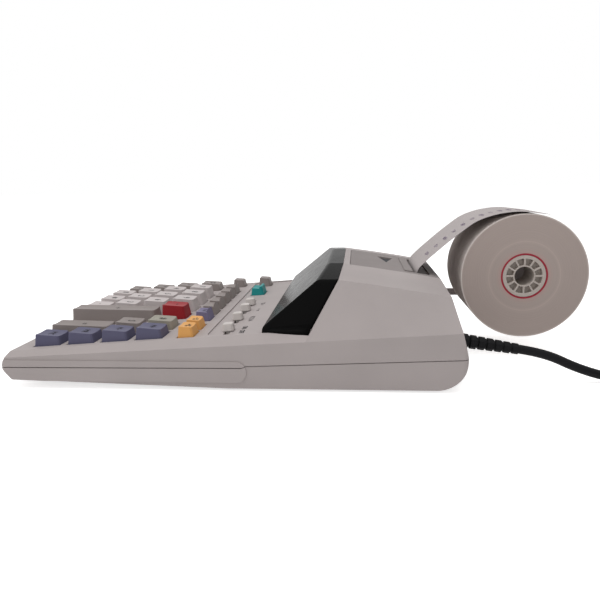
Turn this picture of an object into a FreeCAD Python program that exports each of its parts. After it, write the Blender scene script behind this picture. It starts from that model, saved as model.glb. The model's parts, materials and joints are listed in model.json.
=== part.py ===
import FreeCAD, Part
import functools
import math
import os

from FreeCAD import Vector

# Printing desk calculator. Millimetres, +Z up, nose towards -Y, paper roll towards +Y.
# Sizes below are given with Y = 0 at the middle of the case; the last section moves
# everything so that the origin is under the middle of the whole machine.

# Zones from nose to tail: key rows, switch panel, visor, seam, printer cover, tail.
# The printer cover takes up what the other zones leave of the case.
CASE_L = 251.0
FIRST_ROW = 21.6
KEY_ROWS = 4
KEY_PITCH = 19.5
BACK_STEP = 1.65
BACK_KEY_L = 9.5
PANEL_GAP = 6.5
PANEL_L = 31.0
VISOR_L = 31.5
SEAM_L = 9.3
HUMP_RIM = 5.8
TAIL_L = 21.8
BACK_ROW = FIRST_ROW + KEY_ROWS * KEY_PITCH + BACK_STEP
FIELD_L = BACK_ROW + BACK_KEY_L / 2 + PANEL_GAP
COVER_L = CASE_L - FIELD_L - PANEL_L - VISOR_L - SEAM_L - HUMP_RIM - TAIL_L
NOSE_Y = -CASE_L / 2
TAIL_Y = CASE_L / 2
PANEL_FRONT_Y = NOSE_Y + FIELD_L
VISOR_Y = PANEL_FRONT_Y + PANEL_L
VISOR_CREST_Y = VISOR_Y + VISOR_L
HUMP_Y = VISOR_CREST_Y + SEAM_L
COVER_Y = HUMP_Y + HUMP_RIM
SLOT_Y = COVER_Y + COVER_L

# Case
CASE_W = 190.8
WALL = 2.4
FLOOR_Z = 1.5
NOSE_RISE = 3.8
NOSE_Z = 12.0
TAIL_R = 16.0
PLAN_R = 3.0
DECK_NOSE_Z = 19.72
DECK_SLOPE = 0.07
CREASE_NOSE_Z = 17.3
CREASE_SLOPE = 0.058
BORDER_W = 6.4
BORDER_H = 3.3
REAR_LEAN = 0.243
PARTING_NOSE_Z = 11.9
PARTING_STEP_Y = PANEL_FRONT_Y + 22.0
GROOVE_H = 0.5
GROOVE_DEEP = 0.9
PAD_PROUD = 0.6
PAD_R = 5.5
PANEL_W = 172.0
PANEL_DEEP = 0.8

# Hump and visor
HUMP_X = 78.6
HUMP_Z = 56.7
ROOF_X = 38.0
ROOF_RISE = 3.5
ROOF_FALL = 0.13
ROOF_BOW = 0.00055
SEAM_LEAN = 0.566
VISOR_X = 87.5
VISOR_ANGLE = 39.5
VISOR_CREST_Z = 58.4

# Printer
COVER_GAP = 0.25
COVER_LIP = 4.0
SLOT_W = 3.2
TEAR_BAR_W = 5.0
TEAR_BAR_H = 0.7
POCKET_DEEP = 1.0
PLATEN_R = 7.0
PLATEN_Z = 36.0

# Keys and switches
KEY_W = 15.7
KEY_TOP_INSET = 1.35
KEY_CORNER = 0.9
KEY_DISH = 0.4
KEY_LEAN = 0.14
KEY_TRAVEL = 3.0
KEY_FIT = 0.3
FLANGE_OVER = 0.45
FLANGE_T = 1.2
FLANGE_GAP = 0.4
KEY_LOW = 6.3
KEY_HIGH = 9.2
BACK_KEY_H = 6.0
FEED_KEY_H = 4.5
BACK_PITCH = 17.2
BACK_KEY_W = 14.7
SMALL_KEY_W = 12.0
SMALL_KEY_L = 10.0
SWITCH_Y = PANEL_FRONT_Y + 10.4
SWITCH_SLOT = (20.0, 3.2)
KNOB = (7.5, 6.5, 4.2)
KNOB_FIT = 0.3
KNOB_TIP = 1.0

# Inside
BOARD_T = 1.6
MAT_T = 1.5
MAT_DEPTH = 9.0
BOARD_FRONT = 13.0
BOARD_REAR = 26.0
BOARD_SIDE = 9.0
POST_W = 6.0
FOOT_R = 6.0
FOOT_SIDE = 19.0
FOOT_FRONT = 55.5
FOOT_REAR = 25.5
TRANSFORMER = (32.0, 30.0, 30.0)
WINDING = (24.0, 36.0, 18.0)
TRANSFORMER_SIDE = 27.4
TRANSFORMER_SET = 12.2

# Paper
PAPER_W = 57.0
PAPER_X = 2.0
PAPER_T = 0.2
ROLL_R = 36.9
ROLL_BEHIND = 42.0
ROLL_Y = TAIL_Y + ROLL_BEHIND
ROLL_Z = 50.5
CORE_R = 12.6
HUB_R = 5.65
HUB_FIT = 0.1
END_FIT = 0.3
CORE_WINDOWS = 12
ARM_T = 2.5
ARM_GAP = 3.5

# Mains cord
CORD_X = 75.0
CORD_D = 5.0
CORD_EXIT_Z = 23.0
RELIEF_L = 30.0
RELIEF_DROP = 4.7
RELIEF_R = (3.65, 2.75)
RELIEF_RIBS = 7
RIB_FILL = 0.8
COIL_R = 27.5
COIL_BAND = 16.5
COIL_H = 15.5
PLUG = (24.0, 30.0, 13.0)
BLADE = (1.5, 17.0, 6.3)

SHIFT = Vector(0, -(NOSE_Y + ROLL_Y + ROLL_R) / 2, 0)
TILT = math.degrees(math.atan(DECK_SLOPE))
BIG = 900.0


# Heights that several pieces share

def deck_z(y):
    return DECK_NOSE_Z + DECK_SLOPE * (y - NOSE_Y)


def crease_z(y):
    return CREASE_NOSE_Z + CREASE_SLOPE * (y - NOSE_Y)


def shoulder_z(y):
    back = max(0.0, y - HUMP_Y)
    return HUMP_Z - ROOF_FALL * back - ROOF_BOW * back * back


def roof_z(y):
    return shoulder_z(y) + ROOF_RISE


def floor_z(y):
    return FLOOR_Z + NOSE_RISE * max(0.0, -y) / (CASE_L / 2 - 6.0)


def rear_y(z):
    return TAIL_Y - REAR_LEAN * (z - FLOOR_Z - TAIL_R)


# Small shape helpers

def box(x0, x1, y0, y1, z0, z1):
    return Part.makeBox(x1 - x0, y1 - y0, z1 - z0, Vector(x0, y0, z0))


def rod_x(x0, x1, y, z, r):
    return Part.makeCylinder(r, x1 - x0, Vector(x0, y, z), Vector(1, 0, 0))


def rod_z(x, y, z0, z1, r):
    return Part.makeCylinder(r, z1 - z0, Vector(x, y, z0))


def fused(shapes):
    shapes = list(shapes)
    if len(shapes) == 1:
        return shapes[0]
    return shapes[0].multiFuse(shapes[1:]).removeSplitter()


def side_prism(points, x0, x1):
    """A closed outline in the YZ plane, drawn out along X."""
    corners = [Vector(x0, y, z) for y, z in points]
    face = Part.Face(Part.makePolygon(corners + corners[:1]))
    return face.extrude(Vector(x1 - x0, 0, 0))


def beyond(point, normal):
    """A large block on the side of a plane that its normal points to."""
    block = Part.makeBox(BIG, BIG, BIG, Vector(-BIG / 2, -BIG / 2, 0))
    block.Placement = FreeCAD.Placement(point, FreeCAD.Rotation(Vector(0, 0, 1), normal))
    return block


def rounded_rectangle(w, h, r, z):
    """A wire in the XY plane round the origin, at height z."""
    a = w / 2 - r
    b = h / 2 - r
    d = r * math.sqrt(0.5)
    edges = []
    corners = [(1, 1, 0), (-1, 1, 90), (-1, -1, 180), (1, -1, 270)]
    for index, (sx, sy, start) in enumerate(corners):
        centre = Vector(sx * a, sy * b, z)
        first = centre + Vector(r * math.cos(math.radians(start)), r * math.sin(math.radians(start)), 0)
        middle = centre + Vector(sx * d, sy * d, 0)
        end = start + 90
        last = centre + Vector(r * math.cos(math.radians(end)), r * math.sin(math.radians(end)), 0)
        edges.append(Part.Arc(first, middle, last).toShape())
        nx, ny, nstart = corners[(index + 1) % 4]
        following = Vector(nx * a, ny * b, z)
        angle = math.radians(nstart)
        following += Vector(r * math.cos(angle), r * math.sin(angle), 0)
        edges.append(Part.LineSegment(last, following).toShape())
    return Part.Wire(edges)


def on_deck(shape, x, y):
    """Moves a shape drawn round the origin onto the sloping deck."""
    placed = shape.copy()
    placed.Placement = FreeCAD.Placement(Vector(x, y, deck_z(y)), FreeCAD.Rotation(Vector(1, 0, 0), TILT))
    return placed


def deck_box(w, l, z0, z1):
    return box(-w / 2, w / 2, -l / 2, l / 2, z0, z1)


# Case: one outer form, the same form set in by the wall, and the line that parts it

TAIL_Z = FLOOR_Z + TAIL_R
PARTING_STEP = 0.8
PARTING_NOSE_SLOPE = 0.0045
PARTING_TAIL_SLOPE = 0.037
NOSE_TUCK = 6.0
DECK_TUCK = 3.5
HUMP_FOOT_Z = 20.0
HUMP_FOOT_IN = 4.0


def case_outline():
    """Side view of the case without its hump: nose, deck, leaning rear wall, round tail, floor."""
    deck_end_z = DECK_NOSE_Z + DECK_SLOPE * (CASE_L + REAR_LEAN * TAIL_Z)
    deck_end_z = deck_end_z / (1 + DECK_SLOPE * REAR_LEAN)
    points = [
        (0.0, FLOOR_Z),
        (NOSE_Y + NOSE_TUCK, floor_z(NOSE_Y + NOSE_TUCK)),
        (NOSE_Y, NOSE_Z),
        (NOSE_Y + DECK_TUCK, deck_z(NOSE_Y + DECK_TUCK)),
        (rear_y(deck_end_z), deck_end_z),
        (TAIL_Y, TAIL_Z),
    ]
    corners = [Vector(0, y, z) for y, z in points]
    edges = [Part.LineSegment(a, b).toShape() for a, b in zip(corners, corners[1:])]
    tail_floor = Vector(0, TAIL_Y - TAIL_R, FLOOR_Z)
    bulge = TAIL_R * math.sqrt(0.5)
    middle = Vector(0, TAIL_Y - TAIL_R + bulge, TAIL_Z - bulge)
    edges.append(Part.Arc(corners[-1], middle, tail_floor).toShape())
    edges.append(Part.LineSegment(tail_floor, corners[0]).toShape())
    return Part.Wire(edges)


def plan_block(inset):
    wire = rounded_rectangle(CASE_W - 2 * inset, CASE_L - 2 * inset, PLAN_R - inset, -BIG / 2)
    return Part.Face(wire).extrude(Vector(0, 0, BIG))


@functools.lru_cache(maxsize=None)
def case_block(inset):
    """The case without its hump, set in by a distance all round."""
    outline = case_outline()
    if inset:
        outline = outline.makeOffset2D(-inset)
    face = Part.Face(outline)
    face.translate(Vector(-CASE_W / 2 + inset, 0, 0))
    block = face.extrude(Vector(CASE_W - 2 * inset, 0, 0)).common(plan_block(inset))
    for side in (-1, 1):
        along = Vector(0, side, side * CREASE_SLOPE)
        across = Vector(-side * BORDER_W, 0, BORDER_H)
        normal = across.cross(along).normalize() * -1
        if normal.z < 0:
            normal = normal * -1
        edge = Vector(side * CASE_W / 2, 0, crease_z(0.0))
        block = block.cut(beyond(edge - normal * inset, normal))
    return block


def hump_section(y, inset):
    half = [
        (CASE_W / 2 - HUMP_FOOT_IN, HUMP_FOOT_Z),
        (CASE_W / 2, crease_z(y)),
        (HUMP_X, shoulder_z(y)),
        (ROOF_X, roof_z(y)),
    ]
    corners = [Vector(x, y, z) for x, z in half]
    corners += [Vector(-x, y, z) for x, z in reversed(half)]
    wire = Part.makePolygon(corners + corners[:1])
    return wire.makeOffset2D(-inset) if inset else wire


@functools.lru_cache(maxsize=None)
def hump_block(inset):
    """The hump: leaning side panels and a roof that falls towards the tail."""
    stations = [HUMP_Y, (HUMP_Y + TAIL_Y) / 2, TAIL_Y]
    rear = Part.makeLoft([hump_section(y, inset) for y in stations], True, False)
    front = Part.makeLoft([hump_section(y, inset) for y in (VISOR_Y, HUMP_Y)], True, True)
    block = front.fuse(rear)
    normal = Vector(0, 1, REAR_LEAN).normalize()
    block = block.cut(beyond(Vector(0, TAIL_Y, TAIL_Z) - normal * inset, normal))
    return block.common(plan_block(inset))


def behind_seam(set_back):
    """Everything behind the slanting joint between visor and hump."""
    normal = Vector(0, 1, -SEAM_LEAN).normalize()
    return beyond(Vector(0, HUMP_Y, HUMP_Z) + normal * set_back, normal)


def visor_block(inset):
    """The wedge of the visor, drawn on past the joint behind it."""
    foot_z = deck_z(VISOR_Y)
    lean = (VISOR_X - HUMP_X) / (HUMP_Z - foot_z)
    half = [
        (VISOR_X + lean * (foot_z - HUMP_FOOT_Z), HUMP_FOOT_Z),
        (HUMP_X, HUMP_Z),
        (ROOF_X, HUMP_Z + ROOF_RISE),
    ]
    start = VISOR_Y + inset
    corners = [Vector(x, start, z) for x, z in half]
    corners += [Vector(-x, start, z) for x, z in reversed(half)]
    wire = Part.makePolygon(corners + corners[:1])
    if inset:
        wire = wire.makeOffset2D(-inset)
    block = Part.Face(wire).extrude(Vector(0, HUMP_Y + 3 * WALL - start, 0))
    angle = math.radians(VISOR_ANGLE)
    normal = Vector(0, -math.sin(angle), math.cos(angle))
    return block.cut(beyond(Vector(0, VISOR_CREST_Y, VISOR_CREST_Z) - normal * inset, normal))


def parting_line(lift):
    step_z = PARTING_NOSE_Z + PARTING_NOSE_SLOPE * (PARTING_STEP_Y - NOSE_Y)
    far = CASE_L
    return [
        (-far, PARTING_NOSE_Z + lift),
        (NOSE_Y, PARTING_NOSE_Z + lift),
        (PARTING_STEP_Y - 1, step_z + lift),
        (PARTING_STEP_Y + 1, step_z + PARTING_STEP + lift),
        (far, step_z + PARTING_STEP + PARTING_TAIL_SLOPE * (far - PARTING_STEP_Y) + lift),
    ]


def above_parting():
    return side_prism(parting_line(0) + [(CASE_L, BIG), (-CASE_L, BIG)], -CASE_W, CASE_W)


def parting_groove():
    slab = side_prism(parting_line(0) + list(reversed(parting_line(GROOVE_H))), -CASE_W, CASE_W)
    return slab.cut(case_block(GROOVE_DEEP))


def side_pads():
    """Raised pads on both flanks at the front, with round corners at their rear end."""
    rear = PARTING_STEP_Y + 1.5
    front = NOSE_Y - PAD_R * 2
    low = floor_z(rear) + 3.2
    high = PARTING_NOSE_Z + 4.3
    outline = rounded_rectangle(rear - front, high - low, PAD_R, 0)
    face = Part.Face(outline)
    turn = FreeCAD.Rotation(Vector(0, 1, 0), Vector(0, 0, 1), Vector(1, 0, 0), "XYZ")
    face.Placement = FreeCAD.Placement(Vector(-CASE_W, (rear + front) / 2, (low + high) / 2), turn)
    pads = face.extrude(Vector(2 * CASE_W, 0, 0)).common(plan_block(-PAD_PROUD))
    wide = Part.Face(case_outline())
    wide.translate(Vector(-CASE_W, 0, 0))
    pads = pads.common(wide.extrude(Vector(2 * CASE_W, 0, 0)))
    middle = CASE_W / 2 - WALL / 2
    return pads.cut(box(-middle, middle, -CASE_L, CASE_L, -BIG, BIG))


# Layout of the keys: each row of the list is a node, its centre, its base and its height

ROWS = [NOSE_Y + FIRST_ROW + KEY_PITCH * row for row in range(KEY_ROWS)]
BACK_Y = NOSE_Y + BACK_ROW
MEMORY_X = 76.75
TOTAL_X = 57.35
ADD_X = 29.5
DIGIT_X = (8.0, -13.5, -35.0)
LEFT_X = -68.0
YELLOW_X = (79.0, 63.0)
YELLOW_KEY_W = 14.0
PURPLE_X = 41.15
GREY_X = 23.95
SMALL_X = -74.5
FEED_X = -40.25
PANEL_KEY_Y = PANEL_FRONT_Y + 9.25
SWITCH_X = (72.0, 46.0, 21.0, -2.0)
SWITCH_REST = (1.5, 0.2, 0.2, 4.8)


def key_layout():
    keys = []
    for name, y in zip(("memory_total", "memory_recall", "memory_minus", "memory_plus"), ROWS):
        keys.append((name, MEMORY_X, y, KEY_W, KEY_W, KEY_LOW))
    keys.append(("total", TOTAL_X, (ROWS[0] + ROWS[1]) / 2, KEY_W, KEY_W + KEY_PITCH, KEY_LOW))
    keys.append(("subtotal", TOTAL_X, ROWS[2], KEY_W, KEY_W, KEY_LOW))
    keys.append(("item", TOTAL_X, ROWS[3], KEY_W, KEY_W, KEY_LOW))
    keys.append(("add", ADD_X, ROWS[1], KEY_W, KEY_W + 2 * KEY_PITCH, KEY_HIGH))
    keys.append(("subtract", ADD_X, ROWS[3], KEY_W, KEY_W, KEY_HIGH))
    digits = (("point", "double_zero", "zero"), ("3", "2", "1"), ("6", "5", "4"), ("9", "8", "7"))
    for names, y in zip(digits, ROWS):
        for name, x in zip(names, DIGIT_X):
            keys.append(("digit_" + name, x, y, KEY_W, KEY_W, KEY_HIGH))
    for name, y in zip(("clear", "multiply", "divide", "percent"), ROWS):
        keys.append((name, LEFT_X, y, KEY_W, KEY_W, KEY_LOW))
    for name, x in zip(("tax_plus", "tax_minus"), YELLOW_X):
        keys.append((name, x, BACK_Y, YELLOW_KEY_W, BACK_KEY_L, BACK_KEY_H))
    keys.append(("grand_total", PURPLE_X, BACK_Y, BACK_KEY_W, BACK_KEY_L, BACK_KEY_H))
    for index, name in enumerate(("cost", "sell", "margin", "rate", "exchange")):
        keys.append((name, GREY_X - BACK_PITCH * index, BACK_Y, BACK_KEY_W, BACK_KEY_L, BACK_KEY_H))
    keys.append(("shift", SMALL_X, BACK_Y, SMALL_KEY_W, SMALL_KEY_L, BACK_KEY_H))
    keys.append(("back", SMALL_X, PANEL_KEY_Y, SMALL_KEY_W, SMALL_KEY_L, BACK_KEY_H))
    keys.append(("paper_feed", FEED_X, PANEL_KEY_Y, 16.5, SMALL_KEY_L, FEED_KEY_H))
    return keys


def tapered_block(w, l, z0, z1, inset_x, inset_y, corner):
    """A block with straight sides that lean in towards its top, and its corners taken off."""
    a = w / 2
    b = l / 2
    block = Part.makeWedge(-a, z0, -b, inset_y - b, inset_x - a, a, z1, b, b - inset_y, a - inset_x)
    block.rotate(Vector(0, 0, 0), Vector(1, 0, 0), 90)
    upright = [e for e in block.Edges if abs(e.Vertexes[0].Z - e.Vertexes[1].Z) > (z1 - z0) / 2]
    return block.makeChamfer(corner, upright)


def key(w, l, h):
    """A key on its own: tapering cap with a dished top lower at the back, flange under the deck and stem."""
    skirt_z = -WALL - FLANGE_GAP
    lean = KEY_LEAN * min(1.0, (1 + KEY_W / l) / 2)
    cap = tapered_block(w, l, skirt_z, h + lean * l / 2, KEY_TOP_INSET, KEY_TOP_INSET, KEY_CORNER)
    crown = w - 2 * KEY_TOP_INSET
    dish_r = crown ** 2 / (8 * KEY_DISH)
    dish_start = Vector(0, -l, h + lean * l - KEY_DISH + dish_r)
    dish = Part.makeCylinder(dish_r, 2 * l, dish_start, Vector(0, 1, -lean))
    over = 2 * (KEY_FIT + FLANGE_OVER)
    flange = deck_box(w + over, l + over, skirt_z - FLANGE_T, skirt_z)
    stem_z = -MAT_DEPTH + KEY_TRAVEL + FLANGE_GAP
    stem = deck_box(w / 3, l / 3, stem_z, skirt_z - FLANGE_T)
    return fused([cap.cut(dish), flange, stem])


def knob():
    """A slide switch knob: ribbed head, tongue through the slot and a foot under the deck."""
    w, l, h = KNOB
    tongue_w = w - 2 * KNOB_TIP
    tongue_l = SWITCH_SLOT[1] - 2 * KNOB_FIT
    under = -PANEL_DEEP
    foot_z = -WALL - KNOB_FIT
    seat = under + KNOB_FIT
    head = tapered_block(w, l, seat, seat + h, KNOB_TIP, KNOB_TIP / 2, KNOB_TIP)
    tongue = deck_box(tongue_w, tongue_l, foot_z, seat)
    foot = deck_box(w, l, foot_z - FLANGE_T, foot_z)
    return fused([head, tongue, foot])


# Feet and inside pieces

FEET_Y = (NOSE_Y + FOOT_FRONT, TAIL_Y - FOOT_REAR)
FEET = [(side * (CASE_W / 2 - FOOT_SIDE), y) for side in (-1, 1) for y in FEET_Y]
BOARD_Y = (NOSE_Y + BOARD_FRONT, PANEL_FRONT_Y + BOARD_REAR)
BOARD_HALF = CASE_W / 2 - BOARD_SIDE


def rubber_feet():
    """Round pads stuck under the case, each cut to the slope of the floor above it."""
    feet = [rod_z(x, y, 0, floor_z(y) + FOOT_R, FOOT_R) for x, y in FEET]
    return Part.makeCompound([foot.cut(case_block(0)) for foot in feet])


def sloping_sheet(depth, thick):
    """A sheet under the keys, parallel to the deck."""
    front, rear = BOARD_Y
    points = [
        (front, deck_z(front) - depth - thick),
        (rear, deck_z(rear) - depth - thick),
        (rear, deck_z(rear) - depth),
        (front, deck_z(front) - depth),
    ]
    return side_prism(points, -BOARD_HALF, BOARD_HALF)


def board_posts():
    """Short pillars on the floor that carry the board."""
    front, rear = BOARD_Y
    under = deck_z(0) - MAT_DEPTH - MAT_T - BOARD_T
    above_board = beyond(Vector(0, 0, under), Vector(0, -DECK_SLOPE, 1))
    posts = []
    for x in (-BOARD_HALF + POST_W, BOARD_HALF - POST_W):
        for y in (front + POST_W, rear - POST_W):
            post = deck_box(POST_W, POST_W, floor_z(y) + WALL / 2, HUMP_Z)
            post.translate(Vector(x, y, 0))
            posts.append(post.cut(above_board))
    return posts


# Upper and lower case

PANEL_R = 6.0
LEDGE_W = 3.0
LEDGE_T = 1.65
LEDGE_FIT = 0.15
ROOF_END_Y = rear_y(roof_z(TAIL_Y - TAIL_R / 2))
EXIT_Y = rear_y(CORD_EXIT_Z)
RELIEF_FIT = 0.15
RELIEF_WEB = 2.4
RELIEF_FLANGE = 1.4
RELIEF_ROOT = Vector(CORD_X, EXIT_Y, CORD_EXIT_Z)
RELIEF_AXIS = Vector(0, RELIEF_L, -RELIEF_DROP)


def relief_placement():
    return FreeCAD.Placement(RELIEF_ROOT, FreeCAD.Rotation(Vector(0, 0, 1), RELIEF_AXIS))


def case_shell():
    outer = fused([case_block(0), side_pads(), hump_block(0).common(behind_seam(0))])
    shell = outer.cut(case_block(WALL))
    shell = shell.cut(hump_block(WALL).common(behind_seam(WALL)))
    return shell.cut(visor_block(WALL).common(behind_seam(-WALL / 2)))


def cover_zone(grow):
    half = ROOF_X + grow
    low = roof_z(ROOF_END_Y) - COVER_LIP - grow
    return box(-half, half, COVER_Y - grow, TAIL_Y + PLAN_R, low, BIG / 2)


def cover_ledge():
    """A rim inside the roof that the printer cover lies on."""
    ledge = hump_block(WALL + LEDGE_FIT).cut(hump_block(WALL + LEDGE_T))
    ledge = ledge.common(cover_zone(LEDGE_W))
    inside = box(LEDGE_W - ROOF_X, ROOF_X - LEDGE_W, COVER_Y + LEDGE_W, BIG / 2, 0, BIG / 2)
    root = hump_block(WALL / 2).cut(hump_block(WALL + LEDGE_T))
    root = root.common(cover_zone(LEDGE_W)).cut(cover_zone(COVER_GAP))
    return ledge.cut(inside).fuse(root)


def switch_panel():
    length = 2 * (VISOR_Y - PANEL_FRONT_Y)
    wire = rounded_rectangle(PANEL_W, length, PANEL_R, -PANEL_DEEP)
    block = on_deck(Part.Face(wire).extrude(Vector(0, 0, HUMP_Z)), 0, PANEL_FRONT_Y + length / 2)
    return block.cut(box(-BIG, BIG, VISOR_Y, BIG, -BIG, BIG))


def deck_openings():
    through = (-2 * WALL, 3 * WALL)
    openings = []
    for name, x, y, w, l, h in key_layout():
        openings.append(on_deck(deck_box(w + 2 * KEY_FIT, l + 2 * KEY_FIT, *through), x, y))
    for x in SWITCH_X:
        openings.append(on_deck(deck_box(*SWITCH_SLOT, *through), x, SWITCH_Y))
    return openings


def upper_case(shell):
    upper = shell.common(above_parting()).cut(parting_groove())
    upper = upper.cut(switch_panel()).cut(cover_zone(COVER_GAP))
    upper = upper.cut(Part.makeCompound(deck_openings()))
    upper = fused([upper, cover_ledge()])
    half = RELIEF_R[0] + RELIEF_FIT
    exit_hole = tapered_block(2 * half, 2 * half, -RELIEF_L / 4, RELIEF_L / 4, 0, 0, half / 2)
    exit_hole.Placement = relief_placement()
    return upper.cut(exit_hole)


def lower_case(shell):
    return fused([shell.cut(above_parting())] + board_posts())


# Visor, display and printer

DISPLAY = (144.0, 12.0, 7.0)
FRAME_HALF = 35.0
CHEEK_T = 2.0
SHAFT_R = 3.0
SHAFT_FIT = 0.1
PLATEN_Y = SLOT_Y - PLATEN_R - 0.6


def display_visor():
    deck_normal = Vector(0, DECK_SLOPE, -1)
    below_deck = beyond(Vector(0, 0, deck_z(0)), deck_normal)
    shell = visor_block(0).cut(visor_block(WALL))
    return shell.cut(behind_seam(0)).cut(below_deck)


def display_tube():
    w, l, h = DISPLAY
    return on_deck(deck_box(w, l, 0, h), 0, VISOR_Y + 1.5 * l)


def roof_skin(depth, x0, x1, y0, y1):
    """The top layer of the roof over a rectangle."""
    return hump_block(0).cut(hump_block(depth)).common(box(x0, x1, y0, y1, HUMP_FOOT_Z + TAIL_R, BIG / 2))


def printer_cover():
    """Cover with a tape slot, a raised tear bar before it, a pocket behind it and a pointer mark."""
    cover = hump_block(0).cut(hump_block(WALL)).common(cover_zone(0))
    half = PAPER_W / 2 + SLOT_W / 2
    slot_front = SLOT_Y - SLOT_W / 2
    slot_rear = SLOT_Y + SLOT_W / 2
    bar = hump_block(-TEAR_BAR_H).cut(hump_block(WALL / 4))
    bar = bar.common(box(PAPER_X - half, PAPER_X + half, slot_front - TEAR_BAR_W, slot_front, HUMP_X / 2, BIG / 2))
    cover = fused([cover, bar])
    cover = cover.cut(box(PAPER_X - half, PAPER_X + half, slot_front, slot_rear, TAIL_R, BIG / 2))
    cover = cover.cut(roof_skin(POCKET_DEEP, PAPER_X - half, PAPER_X + half, slot_rear - 1, slot_rear + 7))
    middle_y = (COVER_Y + slot_front) / 2 + 4
    corners = [Vector(-20, middle_y - 5, 0), Vector(5, middle_y, 0), Vector(-20, middle_y + 5, 0)]
    mark = Part.Face(Part.makePolygon(corners + corners[:1])).extrude(Vector(0, 0, BIG / 2))
    return cover.cut(mark.common(roof_skin(POCKET_DEEP, -ROOF_X, ROOF_X, COVER_Y, slot_front)))


def printer_frame():
    floor = FLOOR_Z + WALL
    front = PLATEN_Y - 2.2 * PLATEN_R
    rear = PLATEN_Y + 1.6 * PLATEN_R
    top = PLATEN_Z + PLATEN_R / 2
    pieces = [box(-FRAME_HALF, FRAME_HALF, front, rear, floor, floor + CHEEK_T)]
    for side in (-1, 1):
        inner, outer = sorted((side * FRAME_HALF, side * (FRAME_HALF - CHEEK_T)))
        pieces.append(box(inner, outer, front, rear, floor, top))
    pieces.append(box(-FRAME_HALF, FRAME_HALF, front, front + SHAFT_R, top - PLATEN_R, top))
    frame = fused(pieces)
    return frame.cut(rod_x(-CASE_W, CASE_W, PLATEN_Y, PLATEN_Z, SHAFT_R + SHAFT_FIT))


def platen_roller():
    half = FRAME_HALF - CHEEK_T - END_FIT
    shaft = rod_x(-FRAME_HALF - CHEEK_T, FRAME_HALF + CHEEK_T, PLATEN_Y, PLATEN_Z, SHAFT_R)
    return rod_x(-half, half, PLATEN_Y, PLATEN_Z, PLATEN_R).fuse(shaft)


def power_transformer():
    x = TRANSFORMER_SIDE - CASE_W / 2
    y = HUMP_Y + TRANSFORMER_SET
    z = FLOOR_Z + WALL + TRANSFORMER[2] / 2
    blocks = []
    for w, l, h in (TRANSFORMER, WINDING):
        blocks.append(box(x - w / 2, x + w / 2, y - l / 2, y + l / 2, z - h / 2, z + h / 2))
    return fused(blocks)


# Paper roll, its holder and the printed tape

ROLL_NEAR_X = PAPER_X + PAPER_W / 2
ROLL_FAR_X = PAPER_X - PAPER_W / 2
ARM_X = ROLL_FAR_X - ARM_GAP - ARM_T
ARM_FOOT_Z = 30.0
ARM_FOOT_H = 14.0
ARM_FOOT_W = 12.0
ARM_NECK_W = 4.5
ARM_ELBOW_Y = TAIL_Y + 12.5
COLLAR_R = 9.0
SPOKE_T = 1.1
WINDOW_R = (6.5, 10.4)
CORE_FIT = 0.05
TAPE_END_Y = ROLL_Y + 13.0
TAPE_CLEAR = 1.3


def paper_roll():
    outer = rod_x(ROLL_FAR_X, ROLL_NEAR_X, ROLL_Y, ROLL_Z, ROLL_R)
    return outer.cut(rod_x(ROLL_FAR_X, ROLL_NEAR_X, ROLL_Y, ROLL_Z, CORE_R))


def roll_core():
    """A moulded core: rim and hub joined by spokes that run its whole length."""
    rim = rod_x(ROLL_FAR_X, ROLL_NEAR_X, ROLL_Y, ROLL_Z, CORE_R - CORE_FIT)
    inner, outer = WINDOW_R
    ring = rod_x(ROLL_FAR_X, ROLL_NEAR_X, ROLL_Y, ROLL_Z, outer)
    ring = ring.cut(rod_x(ROLL_FAR_X, ROLL_NEAR_X, ROLL_Y, ROLL_Z, inner))
    for spoke in range(CORE_WINDOWS // 2):
        bar = box(ROLL_FAR_X, ROLL_NEAR_X, -CORE_R, CORE_R, -SPOKE_T / 2, SPOKE_T / 2)
        bar.rotate(Vector(0, 0, 0), Vector(1, 0, 0), 360 * spoke / CORE_WINDOWS)
        bar.translate(Vector(0, ROLL_Y, ROLL_Z))
        ring = ring.cut(bar)
    return rim.cut(ring).cut(rod_x(ROLL_FAR_X, ROLL_NEAR_X, ROLL_Y, ROLL_Z, HUB_R))


def band(start, end, w, x0, x1):
    """A straight strip of even width in the YZ plane, thick along X."""
    along = Vector(0, end[0] - start[0], end[1] - start[1]).normalize()
    across = Vector(0, -along.z, along.y) * (w / 2)
    a = Vector(0, *start)
    b = Vector(0, *end)
    corners = [a - across, b - across, b + across, a + across]
    return side_prism([(c.y, c.z) for c in corners], x0, x1)


def paper_holder():
    """A side arm fixed to the rear wall, with a spindle that the core turns on."""
    near = ARM_X + ARM_T
    low = ARM_FOOT_Z - ARM_FOOT_H / 2
    high = ARM_FOOT_Z + ARM_FOOT_H / 2
    foot = [(rear_y(low), low), (rear_y(low) + ARM_T, low), (rear_y(high) + ARM_T, high), (rear_y(high), high)]
    elbow = (ARM_ELBOW_Y, ARM_FOOT_Z)
    pieces = [
        side_prism(foot, near - ARM_FOOT_W, near),
        band((rear_y(ARM_FOOT_Z) + ARM_T / 2, ARM_FOOT_Z), elbow, ARM_NECK_W, ARM_X, near),
        rod_x(ARM_X, near, *elbow, ARM_NECK_W / 2),
        band(elbow, (ROLL_Y, ROLL_Z), ARM_NECK_W, ARM_X, near),
        rod_x(ARM_X, ROLL_FAR_X - END_FIT, ROLL_Y, ROLL_Z, COLLAR_R),
        rod_x(ARM_X, PAPER_X + PAPER_W / 8, ROLL_Y, ROLL_Z, HUB_R - HUB_FIT),
    ]
    return fused(pieces)


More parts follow.
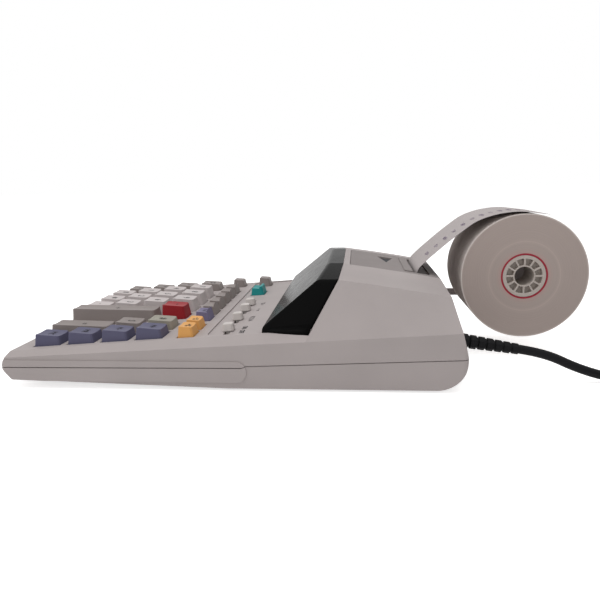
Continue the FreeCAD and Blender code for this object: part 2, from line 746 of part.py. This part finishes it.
def tape_path():
    """Side view of the tape: up past the platen, out of the slot, then over the top of the roll."""
    slot_z = roof_z(SLOT_Y)
    top = ROLL_Z + ROLL_R + TAPE_CLEAR
    return [
        (SLOT_Y, PLATEN_Z),
        (SLOT_Y, slot_z - 4.0),
        (SLOT_Y + 0.9, slot_z + 1.6),
        (SLOT_Y + 6.5, slot_z + 7.4),
        (TAIL_Y - 0.5, top - 15.2),
        (ROLL_Y - 29.0, top - 5.0),
        (ROLL_Y - 18.0, top - 1.3),
        (ROLL_Y - 5.0, top + 0.4),
        (TAPE_END_Y, top - 1.9),
    ]


def rounded_path(points):
    """A wire of straight runs joined by arcs as large as the runs allow, and its bend radii."""
    edges = []
    bends = []
    start = points[0]
    for before, corner, after in zip(points, points[1:], points[2:]):
        back = (before - corner).normalize()
        ahead = (after - corner).normalize()
        half_turn = (math.pi - back.getAngle(ahead)) / 2
        reach = 0.45 * min((corner - before).Length, (after - corner).Length)
        bend = reach / math.tan(half_turn)
        bends.append(round(bend, 1))
        bisector = (back + ahead).normalize()
        middle = corner + bisector * (bend / math.cos(half_turn) - bend)
        edges.append(Part.LineSegment(start, corner + back * reach).toShape())
        edges.append(Part.Arc(corner + back * reach, middle, corner + ahead * reach).toShape())
        start = corner + ahead * reach
    edges.append(Part.LineSegment(start, points[-1]).toShape())
    return Part.Wire(edges), bends


def paper_tape():
    path, bends = rounded_path([Vector(ROLL_FAR_X, y, z) for y, z in tape_path()])
    sheet = path.makeOffset2D(PAPER_T, 0, True, True)
    return sheet.extrude(Vector(PAPER_W, 0, 0))


# Mains cord: strain relief, free run, coil and plug

RELIEF_END = RELIEF_ROOT + RELIEF_AXIS
CORD_R = CORD_D / 2
CORD_ROUTE = [
    RELIEF_END,
    RELIEF_END + Vector(0, 14, -14 * RELIEF_DROP / RELIEF_L),
    RELIEF_END + Vector(0.3, 31, -10.4),
    Vector(CORD_X, RELIEF_END.y + 49, CORD_R),
    Vector(CORD_X, RELIEF_END.y + 67, CORD_R),
]
COIL_X = CORD_X + COIL_R
COIL_Y = RELIEF_END.y + 90.0


def square_plate(half, z0, z1):
    return tapered_block(2 * half, 2 * half, z0, z1, 0, 0, half / 2)


def strain_relief():
    """A tapering ribbed sleeve with its corners taken off, held in the wall by a flange inside."""
    wide, slim = RELIEF_R
    inside = 2 * WALL
    length = RELIEF_AXIS.Length
    pitch = length / (RELIEF_RIBS - 1 + RIB_FILL)
    pieces = [tapered_block(2 * RELIEF_WEB, 2 * RELIEF_WEB, -WALL, length, 0.2, 0.2, RELIEF_WEB / 2)]
    for rib in range(RELIEF_RIBS):
        half = wide + (slim - wide) * rib / (RELIEF_RIBS - 1)
        pieces.append(square_plate(half, pitch * rib, pitch * (rib + RIB_FILL)))
    pieces.append(square_plate(wide, -inside, pitch / 2))
    pieces.append(square_plate(wide * RELIEF_FLANGE, -inside - WALL / 2, -inside))
    relief = fused(pieces)
    relief.Placement = relief_placement()
    return relief


def cord_tube(route, radius):
    """A tube of eight flats along the route, compared with its section times its length."""
    path, bends = rounded_path(route)
    corner_r = radius / math.cos(math.pi / 8)
    angles = [math.pi / 8 + math.pi / 4 * corner for corner in range(8)]
    corners = [Vector(corner_r * math.cos(a), corner_r * math.sin(a), 0) for a in angles]
    section = Part.makePolygon(corners + corners[:1])
    section.Placement = FreeCAD.Placement(route[0], FreeCAD.Rotation(Vector(0, 0, 1), route[1] - route[0]))
    tube = path.makePipeShell([section], True, False)
    wanted = Part.Face(section).Area * path.Length
    print("cord bend radii", bends, "length", round(path.Length, 1))
    print("cord volume against section times length", round(tube.Volume / wanted, 4))
    return tube


def cord_coil():
    """The wound length as one ring, with a notch where the free run comes in."""
    outer = rod_z(COIL_X, COIL_Y, 0, COIL_H, COIL_R + COIL_BAND / 2)
    ring = outer.cut(rod_z(COIL_X, COIL_Y, 0, COIL_H, COIL_R - COIL_BAND / 2))
    end = CORD_ROUTE[-1]
    return ring.cut(box(end.x - CORD_D, end.x + CORD_D, 0, end.y, 0, 2 * CORD_D))


def cord_plug():
    """A two blade plug lying on the coil, in line with its turns."""
    w, l, h = PLUG
    front = COIL_Y + l / 2
    shoulder = 0.4 * l
    tail = tapered_block(w, h, 0, shoulder, 0.3 * w, 0.2 * h, h / 8)
    body = Part.makeBox(w, h, l - shoulder, Vector(-w / 2, -h / 2, shoulder - l))
    plug = fused([tail, body])
    plug.rotate(Vector(0, 0, 0), Vector(1, 0, 0), 90)
    plug.translate(Vector(0, front - l + shoulder, h / 2))
    t, reach, tall = BLADE
    blades = []
    for side in (-1, 1):
        x = side * w * 0.26
        blades.append(box(x - t / 2, x + t / 2, front, front + reach, (h - tall) / 2, (h + tall) / 2))
    plug = fused([plug] + blades)
    plug.translate(Vector(COIL_X - COIL_R, 0, COIL_H))
    return plug


# All pieces, moved to the frame of the whole machine

def all_pieces():
    shell = case_shell()
    pieces = {
        "lower_case": lower_case(shell),
        "upper_case": upper_case(shell),
        "display_visor": display_visor(),
        "display_tube": display_tube(),
        "printer_cover": printer_cover(),
        "printer_frame": printer_frame(),
        "platen_roller": platen_roller(),
        "power_transformer": power_transformer(),
        "rubber_feet": rubber_feet(),
        "main_board": sloping_sheet(MAT_DEPTH + MAT_T, BOARD_T),
        "key_mat": sloping_sheet(MAT_DEPTH, MAT_T),
        "paper_roll": paper_roll(),
        "roll_core": roll_core(),
        "paper_holder": paper_holder(),
        "paper_tape": paper_tape(),
        "strain_relief": strain_relief(),
        "power_cord": cord_tube(CORD_ROUTE, CORD_R),
        "cord_coil": cord_coil(),
        "cord_plug": cord_plug(),
    }
    for name, x, y, w, l, h in key_layout():
        pieces[name + "_key"] = on_deck(key(w, l, h), x, y)
    for index, (x, rest) in enumerate(zip(SWITCH_X, SWITCH_REST)):
        pieces["switch_knob_%d" % (index + 1)] = on_deck(knob(), x + rest, SWITCH_Y)
    return pieces


os.makedirs("parts", exist_ok=True)
for node, solid in all_pieces().items():
    solid.translate(SHIFT)
    solid.exportStep("parts/" + node + ".step")
    print(node, "valid" if solid.isValid() else "NOT VALID", len(solid.Solids), round(solid.Volume))
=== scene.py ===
import json
import math

import bpy
from mathutils import Matrix, Vector


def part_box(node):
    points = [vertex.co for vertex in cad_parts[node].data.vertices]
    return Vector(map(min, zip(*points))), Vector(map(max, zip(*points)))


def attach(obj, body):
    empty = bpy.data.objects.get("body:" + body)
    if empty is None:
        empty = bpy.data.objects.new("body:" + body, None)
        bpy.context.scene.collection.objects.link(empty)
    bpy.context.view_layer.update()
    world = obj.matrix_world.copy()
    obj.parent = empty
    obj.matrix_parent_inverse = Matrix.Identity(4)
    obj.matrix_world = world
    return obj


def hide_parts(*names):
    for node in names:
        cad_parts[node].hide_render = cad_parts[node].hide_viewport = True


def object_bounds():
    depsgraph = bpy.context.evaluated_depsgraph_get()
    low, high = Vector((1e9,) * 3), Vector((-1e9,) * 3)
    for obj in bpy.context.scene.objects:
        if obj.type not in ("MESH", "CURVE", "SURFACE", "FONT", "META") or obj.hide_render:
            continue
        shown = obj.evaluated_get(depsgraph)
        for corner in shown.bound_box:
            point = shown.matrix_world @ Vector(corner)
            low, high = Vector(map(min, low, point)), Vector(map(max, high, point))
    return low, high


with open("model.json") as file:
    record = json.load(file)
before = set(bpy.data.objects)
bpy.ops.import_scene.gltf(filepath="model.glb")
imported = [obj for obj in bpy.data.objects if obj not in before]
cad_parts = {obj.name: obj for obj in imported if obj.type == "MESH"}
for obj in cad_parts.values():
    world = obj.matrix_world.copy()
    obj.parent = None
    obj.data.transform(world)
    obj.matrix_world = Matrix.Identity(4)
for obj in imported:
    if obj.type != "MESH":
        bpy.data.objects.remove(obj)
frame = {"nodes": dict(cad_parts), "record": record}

# Looks of a printing desk calculator. Metres, +Z up, nose towards -Y, paper roll towards +Y.

CAD_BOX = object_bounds()
NODES = frame["nodes"]
SLOTS = {entry["node"]: entry["material_slot"] for entry in frame["record"]["subparts"]}
SCENE = bpy.context.scene


# Camera, at the photo's angle

CAMERA_AT = Vector((0.39684, 0.02932, 0.10935))
CAMERA_YAW = math.radians(5.51)
CAMERA_PITCH = math.radians(11.22)
CAMERA_ROLL = math.radians(-1.18)
CAMERA_LENS = 36.38


def add_camera():
    level_reach = math.cos(CAMERA_PITCH)
    forward = Vector((-math.cos(CAMERA_YAW) * level_reach, -math.sin(CAMERA_YAW) * level_reach,
                      -math.sin(CAMERA_PITCH)))
    level = Vector((-math.sin(CAMERA_YAW), math.cos(CAMERA_YAW), 0))
    rise = level.cross(forward)
    right = level * math.cos(CAMERA_ROLL) + rise * math.sin(CAMERA_ROLL)
    up = rise * math.cos(CAMERA_ROLL) - level * math.sin(CAMERA_ROLL)
    data = bpy.data.cameras.new("camera")
    data.sensor_width = 36
    data.lens = CAMERA_LENS
    data.clip_start = 0.01
    camera = bpy.data.objects.new("camera", data)
    SCENE.collection.objects.link(camera)
    turn = Matrix((right, up, -forward)).transposed().to_4x4()
    camera.matrix_world = Matrix.Translation(CAMERA_AT) @ turn
    SCENE.camera = camera


add_camera()


# Mains cord: the free run from the strain relief, then a coil whose last turn is cut short, then the plug

CORD_D = 0.005
CORD_EXIT = (0.075, 0.11471, 0.0183)
CORD_RUN = [
    CORD_EXIT,
    (0.075, 0.12871, 0.01611),
    (0.0753, 0.14571, 0.0079),
    (0.075, 0.16371, 0.0025),
    (0.075, 0.18171, 0.0025),
    (0.0712, 0.1930, 0.0025),
]
COIL_CENTRE = Vector((0.1025, 0.20471, 0))
COIL_TURNS = [(32.5, 2.5), (27.5, 2.5), (22.5, 2.5), (22.5, 7.5), (27.5, 7.5), (32.5, 7.5),
              (32.5, 12.5), (27.5, 12.5)]
COIL_STEPS = 16
LAST_TURN = 0.62
EASE_FROM = 0.7
PLUG_RUN = [
    (0.1120, 0.1765, 0.0140),
    (0.0980, 0.1715, 0.0165),
    (0.0850, 0.1722, 0.0195),
    (0.0762, 0.1790, 0.0215),
    (0.0750, 0.1897, 0.0220),
]


def coil_points():
    """Turns side by side and then on top of each other, each easing into the next."""
    points = []
    last = len(COIL_TURNS) - 1
    for turn, (radius, height) in enumerate(COIL_TURNS):
        steps = COIL_STEPS if turn < last else int(COIL_STEPS * LAST_TURN)
        next_radius, next_height = COIL_TURNS[min(turn + 1, last)]
        for step in range(1, steps + 1):
            share = step / COIL_STEPS
            ease = max(0.0, (share - EASE_FROM) / (1 - EASE_FROM))
            r = (radius + (next_radius - radius) * ease) / 1000
            z = (height + (next_height - height) * ease) / 1000
            angle = math.pi - 2 * math.pi * share
            points.append(COIL_CENTRE + Vector((r * math.cos(angle), r * math.sin(angle), z)))
    return points


def add_cord():
    data = bpy.data.curves.new("mains_cord", "CURVE")
    data.dimensions = "3D"
    data.bevel_depth = 1.0
    data.bevel_resolution = 4
    data.use_fill_caps = True
    data.resolution_u = 6
    spline = data.splines.new("NURBS")
    points = [Vector(p) for p in CORD_RUN] + coil_points() + [Vector(p) for p in PLUG_RUN]
    spline.points.add(len(points) - 1)
    for slot, point in zip(spline.points, points):
        slot.co = (*point, 1)
        slot.radius = CORD_D / 2
    spline.order_u = 3
    spline.use_endpoint_u = True
    cord = bpy.data.objects.new("mains_cord", data)
    SCENE.collection.objects.link(cord)
    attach(cord, "base")
    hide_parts("power_cord", "cord_coil")
    return cord


CORD = add_cord()


# Materials

BUMP_DEPTH = 0.0001


def new_material(name):
    material = bpy.data.materials.new(name)
    material.use_nodes = True
    tree = material.node_tree
    place = tree.nodes.new("ShaderNodeTexCoord")
    return material, tree, tree.nodes["Principled BSDF"], place.outputs["Object"]


def noise(tree, vector, scale, detail=3.0):
    node = tree.nodes.new("ShaderNodeTexNoise")
    node.inputs["Scale"].default_value = scale
    node.inputs["Detail"].default_value = detail
    tree.links.new(vector, node.inputs["Vector"])
    return node.outputs["Fac"]


def ramp(tree, factor, stops):
    node = tree.nodes.new("ShaderNodeValToRGB")
    elements = node.color_ramp.elements
    while len(elements) < len(stops):
        elements.new(0.5)
    for element, (at, colour) in zip(elements, stops):
        element.position = at
        element.color = (*colour, 1)
    tree.links.new(factor, node.inputs["Fac"])
    return node.outputs["Color"]


def spread(tree, factor, low, high):
    node = tree.nodes.new("ShaderNodeMapRange")
    node.inputs["To Min"].default_value = low
    node.inputs["To Max"].default_value = high
    tree.links.new(factor, node.inputs["Value"])
    return node.outputs["Result"]


def shade(colour, factor):
    return tuple(min(1.0, part * factor) for part in colour)


def bump(tree, shader, height, strength):
    node = tree.nodes.new("ShaderNodeBump")
    node.inputs["Strength"].default_value = strength
    node.inputs["Distance"].default_value = BUMP_DEPTH
    tree.links.new(height, node.inputs["Height"])
    tree.links.new(node.outputs["Normal"], shader.inputs["Normal"])


def moulded(name, colour, rough, grain=2200, strength=0.12, vary=0.05, sheen=0.06):
    """Moulded plastic or rubber: faint clouding, handling marks in the gloss, and a fine spark texture."""
    material, tree, shader, place = new_material(name)
    clouds = noise(tree, place, 22, 5)
    stops = [(0.3, shade(colour, 1 - vary)), (0.7, shade(colour, 1 + vary))]
    tree.links.new(ramp(tree, clouds, stops), shader.inputs["Base Color"])
    marks = noise(tree, place, 75, 6)
    tree.links.new(spread(tree, marks, rough - 0.08, rough + 0.08), shader.inputs["Roughness"])
    shader.inputs["Specular IOR Level"].default_value = sheen
    bump(tree, shader, noise(tree, place, grain, 2), strength)
    return material


def from_axis(tree, place, centre):
    """Distance of a point from the paper roll's axis."""
    offset = tree.nodes.new("ShaderNodeVectorMath")
    offset.operation = "SUBTRACT"
    offset.inputs[1].default_value = (0, centre.y, centre.z)
    tree.links.new(place, offset.inputs[0])
    flat = tree.nodes.new("ShaderNodeVectorMath")
    flat.operation = "MULTIPLY"
    flat.inputs[1].default_value = (0, 1, 1)
    tree.links.new(offset.outputs["Vector"], flat.inputs[0])
    length = tree.nodes.new("ShaderNodeVectorMath")
    length.operation = "LENGTH"
    tree.links.new(flat.outputs["Vector"], length.inputs[0])
    return length.outputs["Value"]


ROLL_LOW, ROLL_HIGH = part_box("paper_roll")
ROLL_CENTRE = (Vector(ROLL_LOW) + Vector(ROLL_HIGH)) / 2
ROLL_R = (ROLL_HIGH[2] - ROLL_LOW[2]) / 2


def wound_paper():
    """Edge of the wound paper: fine rings, a red end stripe by the core, a pinkish zone round it, and an
    outer rim painted lighter, partly the whiter outer paper and partly painted light against its shade.
    """
    material, tree, shader, place = new_material("wound_paper")
    radius = from_axis(tree, place, ROLL_CENTRE)
    share = spread(tree, radius, 0, 1)
    share.node.inputs["From Max"].default_value = ROLL_R
    paper = (0.47, 0.395, 0.365)
    red = (0.38, 0.045, 0.065)
    # The last stop paints the roll's outer surface and the rim of its end lighter than the wound edge:
    # partly the whiter outer paper, partly painted light against the shade there
    stops = [(0.0, red), (0.367, red), (0.371, (0.50, 0.36, 0.335)), (0.41, (0.49, 0.39, 0.36)),
             (0.45, paper), (0.53, paper), (0.56, shade(paper, 1.1)), (0.60, paper), (0.975, paper),
             (1.0, (0.82, 0.75, 0.71))]
    colour = ramp(tree, share, stops)
    rings = tree.nodes.new("ShaderNodeTexNoise")
    rings.noise_dimensions = "1D"
    rings.inputs["Scale"].default_value = 2600
    rings.inputs["Detail"].default_value = 4
    tree.links.new(radius, rings.inputs["W"])
    tint = tree.nodes.new("ShaderNodeMix")
    tint.data_type = "RGBA"
    tint.blend_type = "MULTIPLY"
    tint.inputs["Factor"].default_value = 0.35
    tree.links.new(colour, tint.inputs["A"])
    ring_stops = [(0.35, (0.72, 0.72, 0.72)), (0.65, (1, 1, 1))]
    tree.links.new(ramp(tree, rings.outputs["Fac"], ring_stops), tint.inputs["B"])
    tree.links.new(tint.outputs["Result"], shader.inputs["Base Color"])
    tree.links.new(spread(tree, noise(tree, place, 60), 0.75, 0.95), shader.inputs["Roughness"])
    shader.inputs["Specular IOR Level"].default_value = 0.05
    bump(tree, shader, rings.outputs["Fac"], 0.25)
    return material


def tape_paper():
    """Thin paper with faint fibres."""
    material, tree, shader, place = new_material("tape_paper")
    fibres = noise(tree, place, 900, 6)
    stops = [(0.3, (0.45, 0.412, 0.408)), (0.7, (0.51, 0.468, 0.464))]
    tree.links.new(ramp(tree, fibres, stops), shader.inputs["Base Color"])
    tree.links.new(spread(tree, fibres, 0.7, 0.9), shader.inputs["Roughness"])
    shader.inputs["Specular IOR Level"].default_value = 0.05
    bump(tree, shader, fibres, 0.08)
    return material


def smoked():
    """Smoked plastic with faint wipe marks in its gloss."""
    material, tree, shader, place = new_material("smoked_visor")
    depth = noise(tree, place, 12, 2)
    stops = [(0.3, (0.0055, 0.0055, 0.0055)), (0.7, (0.008, 0.008, 0.008))]
    tree.links.new(ramp(tree, depth, stops), shader.inputs["Base Color"])
    tree.links.new(spread(tree, noise(tree, place, 160, 5), 0.14, 0.24), shader.inputs["Roughness"])
    shader.inputs["Specular IOR Level"].default_value = 0.004
    return material


FINISHES = {
    "case": moulded("case_plastic", (0.42, 0.378, 0.372), 0.5),
    "cover": moulded("cover_plastic", (0.28, 0.252, 0.247), 0.55, grain=1500, strength=0.3, sheen=0.02),
    "visor": smoked(),
    "blue_keys": moulded("blue_key_plastic", (0.118, 0.115, 0.182), 0.45),
    "dark_keys": moulded("grey_key_plastic", (0.275, 0.24, 0.23), 0.45),
    "olive_key": moulded("olive_key_plastic", (0.33, 0.31, 0.265), 0.45),
    "red_key": moulded("red_key_plastic", (0.31, 0.024, 0.03), 0.42),
    "light_keys": moulded("light_key_plastic", (0.58, 0.53, 0.525), 0.45),
    "yellow_keys": moulded("yellow_key_plastic", (0.75, 0.385, 0.125), 0.42),
    "purple_key": moulded("purple_key_plastic", (0.19, 0.17, 0.27), 0.45),
    "teal_key": moulded("teal_key_plastic", (0.025, 0.27, 0.27), 0.42),
    "knobs": moulded("knob_plastic", (0.60, 0.56, 0.54), 0.45),
    "core": moulded("core_plastic", (0.53, 0.475, 0.435), 0.4),
    "holder": moulded("holder_plastic", (0.42, 0.378, 0.372), 0.5),
    "cord": moulded("cord_vinyl", (0.012, 0.012, 0.013), 0.42, grain=1200, strength=0.2, vary=0.2),
    "feet": moulded("foot_rubber", (0.03, 0.03, 0.03), 0.75, grain=900, strength=0.3),
    "platen": moulded("platen_rubber", (0.035, 0.035, 0.035), 0.7),
    "mat": moulded("mat_rubber", (0.30, 0.30, 0.30), 0.7),
    "board": moulded("board_resin", (0.03, 0.16, 0.06), 0.4, vary=0.25),
    "display": moulded("display_glass", (0.02, 0.05, 0.045), 0.15, strength=0.02),
    "inner_metal": moulded("plated_sheet", (0.42, 0.42, 0.44), 0.35, vary=0.12),
    "paper": wound_paper(),
}
TAPE = tape_paper()
# Dark ink for the legends, also used for the painted shadow in the cover's arrow hollow
INK_AND_PAINTED_SHADOW = moulded("dark_ink_and_painted_shadow", (0.035, 0.035, 0.04), 0.6, vary=0.2)
PRINT_INK = moulded("print_ink", (0.22, 0.17, 0.26), 0.8, vary=0.3)


def paint(thing, material):
    thing.data.materials.clear()
    thing.data.materials.append(material)


for node, thing in NODES.items():
    paint(thing, TAPE if node == "paper_tape" else FINISHES[SLOTS[node]])
paint(CORD, FINISHES["cord"])


# Rounded edges on the moulded pieces

EDGE_ROUND = {"upper_case": 0.0006, "lower_case": 0.0006, "display_visor": 0.005, "printer_cover": 0.0003,
              "roll_core": 0.0003, "cord_plug": 0.0012, "strain_relief": 0.0004, "paper_holder": 0.0005,
              "rubber_feet": 0.0005}
KEY_ROUND = 0.0007
KNOB_ROUND = 0.0005
ROUND_FROM = math.radians(32)
WELD_REACH = 0.00001


def round_edges(thing, width):
    weld = thing.modifiers.new("weld", "WELD")
    weld.merge_threshold = WELD_REACH
    edges = thing.modifiers.new("edges", "BEVEL")
    edges.width = width
    edges.segments = 3
    edges.limit_method = "ANGLE"
    edges.angle_limit = ROUND_FROM
    edges.harden_normals = True
    normals = thing.modifiers.new("normals", "WEIGHTED_NORMAL")
    normals.keep_sharp = True


def thicken(thing, depth):
    """Gives a flat piece a depth, half to each side."""
    solid = thing.modifiers.new("depth", "SOLIDIFY")
    solid.thickness = depth
    solid.offset = 0


for node, thing in NODES.items():
    if node.endswith("_key"):
        round_edges(thing, KEY_ROUND)
    elif node.startswith("switch_knob"):
        round_edges(thing, KNOB_ROUND)
    elif node in EDGE_ROUND:
        round_edges(thing, EDGE_ROUND[node])


# Foot of the visor's near end, which laps over the border of the deck

FOOT_TOP = ((0.0874, -0.0195, 0.0312), (0.0874, -0.0169, 0.0320), (0.0874, -0.0114, 0.0325),
            (0.0874, -0.0033, 0.0332), (0.0874, 0.0056, 0.0340))
FOOT_EDGE = ((0.0875, -0.0195, 0.03025), (0.0876, -0.0169, 0.0300), (0.0887, -0.0114, 0.02975),
             (0.08996, -0.0033, 0.02955), (0.0909, 0.0039, 0.0295))
FOOT_ROOT_X = 0.0868


def add_visor_foot():
    root = [(FOOT_ROOT_X, y, z) for x, y, z in FOOT_EDGE]
    lines = (FOOT_TOP, FOOT_EDGE, root)
    count = len(FOOT_TOP)
    last = count - 1
    faces = [(0, count, 2 * count), (last, 2 * count + last, count + last)]
    for line in range(3):
        near = line * count
        far = (line + 1) % 3 * count
        faces += [(near + i, near + i + 1, far + i + 1, far + i) for i in range(last)]
    mesh = bpy.data.meshes.new("visor_foot")
    mesh.from_pydata([point for line in lines for point in line], [], faces)
    mesh.shade_smooth()
    foot = bpy.data.objects.new("visor_foot", mesh)
    SCENE.collection.objects.link(foot)
    paint(foot, FINISHES["visor"])
    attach(foot, "base")


add_visor_foot()


# Webs that close the windows of the roll's core a little way in from both ends

WEB_R = (0.0061, 0.0109)
WEB_IN = 0.004
WEB_STEPS = 48
WEB_DEPTH = 0.0006


def add_core_web(name, x):
    points = []
    for step in range(WEB_STEPS):
        angle = 2 * math.pi * step / WEB_STEPS
        out_y, out_z = math.cos(angle), math.sin(angle)
        for radius in WEB_R:
            points.append((x, ROLL_CENTRE.y + radius * out_y, ROLL_CENTRE.z + radius * out_z))
    count = len(points)
    faces = [(i, i + 1, (i + 3) % count, (i + 2) % count) for i in range(0, count, 2)]
    mesh = bpy.data.meshes.new(name)
    mesh.from_pydata(points, [], faces)
    web = bpy.data.objects.new(name, mesh)
    SCENE.collection.objects.link(web)
    thicken(web, WEB_DEPTH)
    paint(web, FINISHES["core"])
    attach(web, "roll")


add_core_web("core_web_near", ROLL_HIGH[0] - WEB_IN)
add_core_web("core_web_far", ROLL_LOW[0] + WEB_IN)


# Legends on keys, deck and tape, and a painted shadow in the cover's arrow hollow

INK_LIFT = 0.00012
LOOK_FROM = 0.3


def land(node, x, y):
    """The point on a piece straight below a place over it, and the surface's direction there."""
    hit, spot, normal, face = NODES[node].ray_cast(Vector((x, y, LOOK_FROM)), Vector((0, 0, -1)))
    return spot + normal * INK_LIFT, normal


def write(name, words, size, spot, normal, body, ink):
    """Words lying on a surface, read from the nose end."""
    data = bpy.data.curves.new(name, "FONT")
    data.body = words
    data.size = size
    data.align_x = "CENTER"
    data.align_y = "CENTER"
    data.extrude = INK_LIFT / 8
    data.resolution_u = 3
    thing = bpy.data.objects.new(name, data)
    SCENE.collection.objects.link(thing)
    sideways = Vector((1, 0, 0))
    across = (sideways - normal * sideways.dot(normal)).normalized()
    up = normal.cross(across)
    place = Matrix((across, up, normal)).transposed().to_4x4()
    thing.matrix_world = Matrix.Translation(spot) @ place
    paint(thing, ink)
    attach(thing, body)


KEY_WORDS = {
    "digit_zero": "0", "digit_double_zero": "00", "digit_point": ".", "add": "+", "subtract": "−",
    "total": "=", "clear": "C", "multiply": "×", "divide": "÷", "percent": "%",
    "memory_plus": "M+", "memory_minus": "M−", "memory_recall": "MR", "memory_total": "MC",
    "subtotal": "S", "item": "#", "tax_plus": "+%", "tax_minus": "−%", "grand_total": "GT",
}
KEY_WORDS.update({"digit_%d" % digit: str(digit) for digit in range(1, 10)})

SIGN_SIZE = 0.0062
WORD_SIZE = 0.0046

for key, words in KEY_WORDS.items():
    node = key + "_key"
    low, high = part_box(node)
    spot, normal = land(node, (low[0] + high[0]) / 2, (low[1] + high[1]) / 2)
    size = SIGN_SIZE if len(words) == 1 else WORD_SIZE
    write("legend_" + key, words, size, spot, normal, node, INK_AND_PAINTED_SHADOW)

SWITCH_WORDS = ("ON  OFF", "0 2 3 4", "+  ×", "%  =")
SWITCH_WORD_SIZE = 0.0042
SWITCH_WORD_GAP = 0.0045
for index, words in enumerate(SWITCH_WORDS):
    low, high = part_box("switch_knob_%d" % (index + 1))
    spot, normal = land("upper_case", (low[0] + high[0]) / 2, high[1] + SWITCH_WORD_GAP)
    write("switch_words_%d" % (index + 1), words, SWITCH_WORD_SIZE, spot, normal, "base", INK_AND_PAINTED_SHADOW)

# Corners of a painted shadow: the shade in the arrow-shaped hollow of the printer cover
POINTER_SHADOW_CORNERS = ((-0.0192, 0.0437), (0.0038, 0.0479), (-0.0192, 0.0521))


def add_pointer():
    """Painted shadow: a dark sheet in the arrow-shaped hollow of the printer cover, standing in for the
    shade in it.
    """
    mesh = bpy.data.meshes.new("pointer_shadow")
    mesh.from_pydata([land("printer_cover", x, y)[0] for x, y in POINTER_SHADOW_CORNERS], [], [(0, 1, 2)])
    pointer_shadow = bpy.data.objects.new("pointer_shadow", mesh)
    SCENE.collection.objects.link(pointer_shadow)
    thicken(pointer_shadow, INK_LIFT / 4)
    paint(pointer_shadow, INK_AND_PAINTED_SHADOW)
    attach(pointer_shadow, "base")


add_pointer()

TAPE_LOW, TAPE_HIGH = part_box("paper_tape")
TAPE_LINES = ("12.50 +", "7.25 +", "140.00 +", "3.10 −", "26.00 +", "9.75 +", "58.40 +", "1.15 −",
              "33.00 +", "80.20 +", "4.60 −")
TAPE_FIRST_Y = TAPE_LOW[1] + 0.0085
TAPE_STEP_Y = 0.0054
TAPE_WORDS_IN = 0.017
TAPE_WORD_SIZE = 0.0034

for index, words in enumerate(TAPE_LINES):
    spot, normal = land("paper_tape", TAPE_HIGH[0] - TAPE_WORDS_IN, TAPE_FIRST_Y + TAPE_STEP_Y * index)
    write("tape_line_%d" % (index + 1), words, TAPE_WORD_SIZE, spot, normal, "base", PRINT_INK)


# Floor, light and background

FLOOR_HALF = 6.0
FLOOR_GLOW = 0.68
SOFT_LIGHT = 0.4
# Name, place, size and watts
LAMPS = (
    ("top_light", (0.15, -0.05, 1.3), 1.4, 10.5),
    ("side_light", (1.3, -0.2, 0.55), 0.9, 1.5),
    ("front_light", (0.4, -1.4, 0.8), 1.0, 3.0),
)


def background_rays(tree):
    """One for a ray from the camera and for one mirrored in or sent through a piece, otherwise nought."""
    path = tree.nodes.new("ShaderNodeLightPath")
    seen = path.outputs["Is Camera Ray"]
    for kind in ("Is Glossy Ray", "Is Transmission Ray"):
        either = tree.nodes.new("ShaderNodeMath")
        either.operation = "MAXIMUM"
        tree.links.new(seen, either.inputs[0])
        tree.links.new(path.outputs[kind], either.inputs[1])
        seen = either.outputs["Value"]
    return seen


def add_floor():
    corners = [(-FLOOR_HALF, -FLOOR_HALF, 0), (FLOOR_HALF, -FLOOR_HALF, 0), (FLOOR_HALF, FLOOR_HALF, 0),
               (-FLOOR_HALF, FLOOR_HALF, 0)]
    mesh = bpy.data.meshes.new("floor")
    mesh.from_pydata(corners, [], [(0, 1, 2, 3)])
    floor = bpy.data.objects.new("floor", mesh)
    SCENE.collection.objects.link(floor)
    material, tree, shader, place = new_material("pale_floor")
    stops = [(0.3, (0.93, 0.93, 0.93)), (0.7, (0.95, 0.95, 0.95))]
    tree.links.new(ramp(tree, noise(tree, place, 3), stops), shader.inputs["Base Color"])
    shader.inputs["Roughness"].default_value = 0.9
    shader.inputs["Specular IOR Level"].default_value = 0.0
    shader.inputs["Emission Color"].default_value = (1, 1, 1, 1)
    tree.links.new(spread(tree, background_rays(tree), 0.0, FLOOR_GLOW), shader.inputs["Emission Strength"])
    paint(floor, material)


def add_lamps():
    aim = (Vector(CAD_BOX[0]) + Vector(CAD_BOX[1])) / 2
    for name, spot, size, power in LAMPS:
        data = bpy.data.lights.new(name, "AREA")
        data.size = size
        data.energy = power
        lamp = bpy.data.objects.new(name, data)
        SCENE.collection.objects.link(lamp)
        lamp.location = spot
        lamp.rotation_euler = (aim - Vector(spot)).to_track_quat("-Z", "Y").to_euler()


def add_world():
    """Even soft light, and a white background where the camera looks past the floor."""
    world = bpy.data.worlds.new("studio")
    world.use_nodes = True
    tree = world.node_tree
    soft = tree.nodes["Background"]
    soft.inputs["Color"].default_value = (1, 0.985, 0.975, 1)
    soft.inputs["Strength"].default_value = SOFT_LIGHT
    white = tree.nodes.new("ShaderNodeBackground")
    white.inputs["Color"].default_value = (1, 1, 1, 1)
    white.inputs["Strength"].default_value = 1.0
    mix = tree.nodes.new("ShaderNodeMixShader")
    tree.links.new(background_rays(tree), mix.inputs["Fac"])
    tree.links.new(soft.outputs["Background"], mix.inputs[1])
    tree.links.new(white.outputs["Background"], mix.inputs[2])
    tree.links.new(mix.outputs["Shader"], tree.nodes["World Output"].inputs["Surface"])
    SCENE.world = world


add_floor()
add_lamps()
add_world()
SCENE.view_settings.view_transform = "Standard"


# Refresh the scene's evaluated state

bpy.context.view_layer.update()
